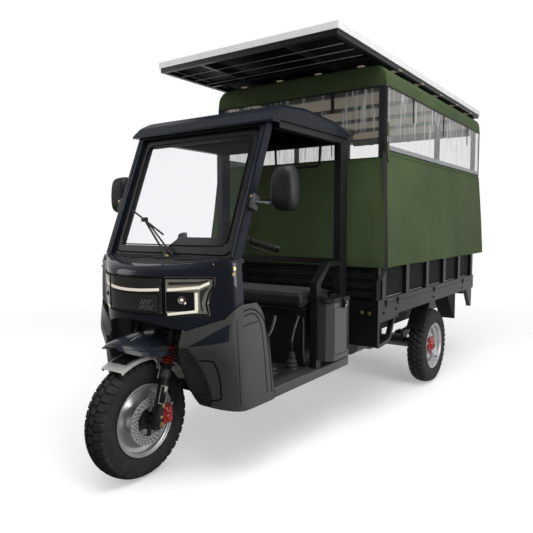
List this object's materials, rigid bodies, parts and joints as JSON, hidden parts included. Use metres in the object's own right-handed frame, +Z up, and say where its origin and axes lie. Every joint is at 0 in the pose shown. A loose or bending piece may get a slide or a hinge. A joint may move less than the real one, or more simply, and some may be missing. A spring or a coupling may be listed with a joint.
{
  "type": "electric three-wheeled rickshaw with cargo box",
  "caption": "Electric auto rickshaw: open-sided cab with raked windscreen, cargo box under a canvas canopy with clear windows, and a framed solar panel as its roof.",
  "frame": {"origin": "on the ground at the middle of the vehicle's length and width", "axes": "+Z up, +Y rearwards from the steered wheel, +X to the driver's left"},
  "size_m": [1.2946, 3.5799, 2.083],
  "materials": {
    "body_paint": "gloss",
    "black_plastic": "matte",
    "powder_coat": "satin",
    "silver_steel": "satin",
    "chrome_plate": "polished",
    "red_metal": "gloss",
    "cast_alloy": "satin",
    "tyre_rubber": "matte",
    "rubber": "matte",
    "lamp_lens": "gloss",
    "red_lens": "gloss",
    "screen_glass": "polished",
    "seat_vinyl": "satin",
    "canvas": "matte",
    "clear_pvc": "gloss",
    "panel_aluminium": "satin",
    "panel_glass": "gloss",
    "battery_case": "matte"
  },
  "bodies": {
    "vehicle": {"nose_cowl": "body_paint", "grille_panel": "black_plastic", "headlamps": "lamp_lens", "leg_shields": "body_paint", "windscreen_frame": "powder_coat", "windscreen_glass": "screen_glass", "front_pillars": "body_paint", "cab_roof": "body_paint", "cab_frame": "powder_coat", "seat_base": "powder_coat", "seat_cushion": "seat_vinyl", "battery_pack": "battery_case", "cab_floor": "body_paint", "chassis_frame": "powder_coat", "rear_axle": "cast_alloy", "drive_motor": "cast_alloy", "leaf_springs": "powder_coat", "rear_mudguards": "powder_coat", "box_floor": "powder_coat", "box_sides": "powder_coat", "box_headboard": "powder_coat", "tail_lamps": "red_lens", "plate_bracket": "powder_coat", "canopy_frame": "powder_coat", "canopy_cover": "canvas", "curtains": "canvas", "clear_windows": "clear_pvc", "rear_curtain_roll": "canvas", "panel_frame": "panel_aluminium", "panel_laminate": "panel_glass", "panel_underframe": "powder_coat", "toolbox": "powder_coat", "mirrors": "black_plastic", "wiper": "black_plastic", "pedal_and_lever": "chrome_plate", "dashboard": "black_plastic"},
    "steering": {"fork": "powder_coat", "fork_springs": "red_metal", "handlebar": "powder_coat", "front_fender_upper": "body_paint", "front_fender_lower": "silver_steel", "brake_caliper": "red_metal"},
    "front_wheel": {"front_tyre": "tyre_rubber", "front_rim": "silver_steel", "brake_disc": "silver_steel"},
    "rear_wheel_left": {"rear_tyre_left": "tyre_rubber", "rear_rim_left": "silver_steel"},
    "rear_wheel_right": {"rear_tyre_right": "tyre_rubber", "rear_rim_right": "silver_steel"},
    "tailgate_body": {"tailgate": "powder_coat"},
    "toolbox_lid_body": {"toolbox_lid": "powder_coat"}
  },
  "joints": [
    {"name": "steering_head", "type": "hinge", "parent": "vehicle", "child": "steering", "pos_m": [0, -1.50205, 0.25456], "axis": [0, 0.2756, 0.9613], "range_deg": [-35, 35]},
    {"name": "front_axle_spin", "type": "hinge", "parent": "steering", "child": "front_wheel", "pos_m": [0, -1.528, 0.262], "axis": [1, 0, 0], "continuous": true},
    {"name": "rear_axle_spin_left", "type": "hinge", "parent": "vehicle", "child": "rear_wheel_left", "pos_m": [0.545, 0.706, 0.262], "axis": [1, 0, 0], "continuous": true},
    {"name": "rear_axle_spin_right", "type": "hinge", "parent": "vehicle", "child": "rear_wheel_right", "pos_m": [-0.545, 0.706, 0.262], "axis": [1, 0, 0], "continuous": true},
    {"name": "tailgate_hinge", "type": "hinge", "parent": "vehicle", "child": "tailgate_body", "pos_m": [0, 1.681, 0.653], "axis": [-1, 0, 0], "range_deg": [0, 90]},
    {"name": "toolbox_lid_hinge", "type": "hinge", "parent": "vehicle", "child": "toolbox_lid_body", "pos_m": [0.4523, -0.594, 0.7455], "axis": [0, -1, 0], "range_deg": [0, 90]}
  ]
}
